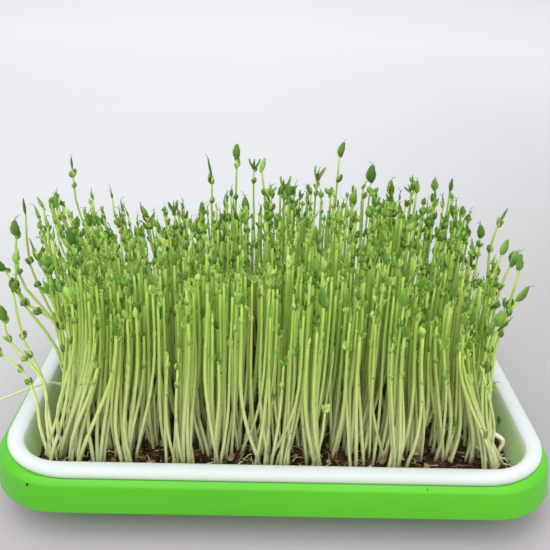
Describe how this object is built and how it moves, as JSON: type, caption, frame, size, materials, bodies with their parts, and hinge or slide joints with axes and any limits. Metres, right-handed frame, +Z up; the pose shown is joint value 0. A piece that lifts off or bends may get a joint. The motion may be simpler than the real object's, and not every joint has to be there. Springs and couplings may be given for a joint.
{
  "type": "microgreens tray",
  "caption": "Pea shoots growing in coir in a white sieve tray, nested by its lip in a green water tray that stands flat on a table.",
  "frame": {"origin": "middle of the water tray's underside, on the surface that it stands on", "axes": "+X along the tray's long side, +Y across it to the back, +Z up along the shoots"},
  "size_m": [0.3414, 0.245, 0.175],
  "materials": {
    "green_plastic": "moulded green polypropylene, satin, a little translucent",
    "white_plastic": "moulded white polypropylene, satin",
    "coir": "damp coir growing medium, rough and crumbly",
    "pea_shoot": "fresh pea shoots, pale waxy stems and darker green leaves"
  },
  "bodies": {
    "root": {"water_tray": "green_plastic", "sieve_tray": "white_plastic", "soil": "coir", "shoots_1_1": "pea_shoot", "shoots_1_2": "pea_shoot", "shoots_1_3": "pea_shoot", "shoots_1_4": "pea_shoot", "shoots_1_5": "pea_shoot", "shoots_1_6": "pea_shoot", "shoots_1_7": "pea_shoot", "shoots_1_8": "pea_shoot", "shoots_1_9": "pea_shoot", "shoots_2_1": "pea_shoot", "shoots_2_2": "pea_shoot", "shoots_2_3": "pea_shoot", "shoots_2_4": "pea_shoot", "shoots_2_5": "pea_shoot", "shoots_2_6": "pea_shoot", "shoots_2_7": "pea_shoot", "shoots_2_8": "pea_shoot", "shoots_2_9": "pea_shoot", "shoots_3_1": "pea_shoot", "shoots_3_2": "pea_shoot", "shoots_3_3": "pea_shoot", "shoots_3_4": "pea_shoot", "shoots_3_5": "pea_shoot", "shoots_3_6": "pea_shoot", "shoots_3_7": "pea_shoot", "shoots_3_8": "pea_shoot", "shoots_3_9": "pea_shoot", "shoots_4_1": "pea_shoot", "shoots_4_2": "pea_shoot", "shoots_4_3": "pea_shoot", "shoots_4_4": "pea_shoot", "shoots_4_5": "pea_shoot", "shoots_4_6": "pea_shoot", "shoots_4_7": "pea_shoot", "shoots_4_8": "pea_shoot", "shoots_4_9": "pea_shoot"}
  },
  "joints": []
}
